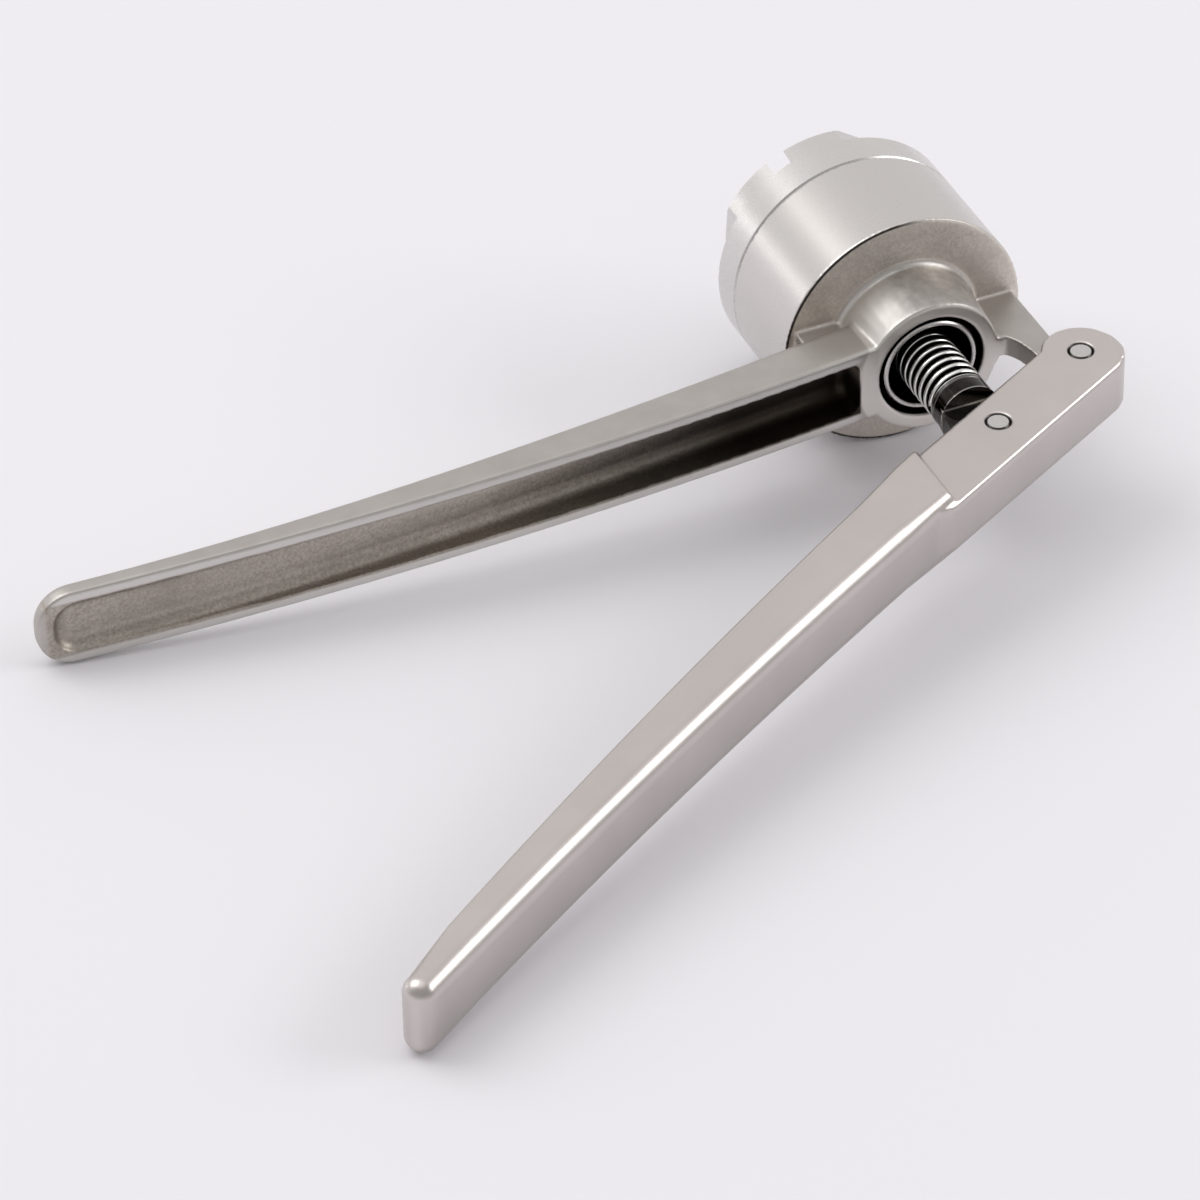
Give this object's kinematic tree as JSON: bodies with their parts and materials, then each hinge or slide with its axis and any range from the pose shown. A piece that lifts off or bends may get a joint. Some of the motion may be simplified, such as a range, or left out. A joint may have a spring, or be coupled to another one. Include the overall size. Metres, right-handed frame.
{
  "type": "vial crimper",
  "caption": "Hand crimper for aluminium vial seals: a fixed handle and a pivoted lever push a sprung plunger that closes collet jaws in a tapered ring.",
  "frame": {"origin": "centre of the head's front plane, on the head axis", "axes": "+Y out of the mouth along the head axis; -X the way the fixed handle points; the mechanism lies in the plane Z = 0"},
  "size_m": [0.1891, 0.1584, 0.044],
  "materials": {
    "casting": "bead-blasted cast stainless steel",
    "turned_steel": "fine-turned stainless steel",
    "lever_steel": "satin-polished cast stainless steel",
    "rod_steel": "polished shaft steel",
    "spring_steel": "bright drawn wire",
    "pin_steel": "ground pin ends",
    "jaw_steel": "hardened and ground steel"
  },
  "bodies": {
    "frame": {"body_casting": "casting", "front_ring": "turned_steel", "guide_bush": "turned_steel"},
    "lever": {"lever_handle": "lever_steel", "pivot_pin": "pin_steel", "rod_pin": "pin_steel"},
    "plunger": {"push_rod": "rod_steel", "spring_collar": "spring_steel", "return_spring": "spring_steel", "jaw_carrier": "jaw_steel", "anvil": "jaw_steel", "anvil_screw": "jaw_steel", "lock_washer": "spring_steel", "jaw_ring_spring": "spring_steel"},
    "jaw_1": {"jaw_1": "jaw_steel"},
    "jaw_2": {"jaw_2": "jaw_steel"},
    "jaw_3": {"jaw_3": "jaw_steel"},
    "jaw_4": {"jaw_4": "jaw_steel"},
    "jaw_5": {"jaw_5": "jaw_steel"},
    "jaw_6": {"jaw_6": "jaw_steel"}
  },
  "joints": [
    {"name": "lever_pivot", "type": "hinge", "parent": "frame", "child": "lever", "pos_m": [0.02145, -0.0554, 0], "axis": [0, 0, -1], "range_deg": [0, 24], "stiffness_Nm_per_rad": 1.76, "springref_deg": -5.73},
    {"name": "plunger_slide", "type": "slide", "parent": "frame", "child": "plunger", "axis": [0, 1, 0], "range_m": [0, 0.00963], "deforming": ["return_spring"]},
    {"name": "jaw_1_rock", "type": "hinge", "parent": "plunger", "child": "jaw_1", "pos_m": [0.0118, -0.023, 0], "axis": [0, 0, 1], "range_deg": [0, 4.75]},
    {"name": "jaw_2_rock", "type": "hinge", "parent": "plunger", "child": "jaw_2", "pos_m": [0.0059, -0.023, 0.01022], "axis": [-0.866, 0, 0.5], "range_deg": [0, 4.75]},
    {"name": "jaw_3_rock", "type": "hinge", "parent": "plunger", "child": "jaw_3", "pos_m": [-0.0059, -0.023, 0.01022], "axis": [-0.866, 0, -0.5], "range_deg": [0, 4.75]},
    {"name": "jaw_4_rock", "type": "hinge", "parent": "plunger", "child": "jaw_4", "pos_m": [-0.0118, -0.023, 0], "axis": [0, 0, -1], "range_deg": [0, 4.75]},
    {"name": "jaw_5_rock", "type": "hinge", "parent": "plunger", "child": "jaw_5", "pos_m": [-0.0059, -0.023, -0.01022], "axis": [0.866, 0, -0.5], "range_deg": [0, 4.75]},
    {"name": "jaw_6_rock", "type": "hinge", "parent": "plunger", "child": "jaw_6", "pos_m": [0.0059, -0.023, -0.01022], "axis": [0.866, 0, 0.5], "range_deg": [0, 4.75]}
  ],
  "couplings": [
    {"joint": "plunger_slide", "follows": "lever_pivot", "m_per_rad": 0.022963},
    {"joint": "jaw_1_rock", "follows": "lever_pivot", "ratio": 0.19583},
    {"joint": "jaw_2_rock", "follows": "lever_pivot", "ratio": 0.19583},
    {"joint": "jaw_3_rock", "follows": "lever_pivot", "ratio": 0.19583},
    {"joint": "jaw_4_rock", "follows": "lever_pivot", "ratio": 0.19583},
    {"joint": "jaw_5_rock", "follows": "lever_pivot", "ratio": 0.19583},
    {"joint": "jaw_6_rock", "follows": "lever_pivot", "ratio": 0.19583}
  ]
}
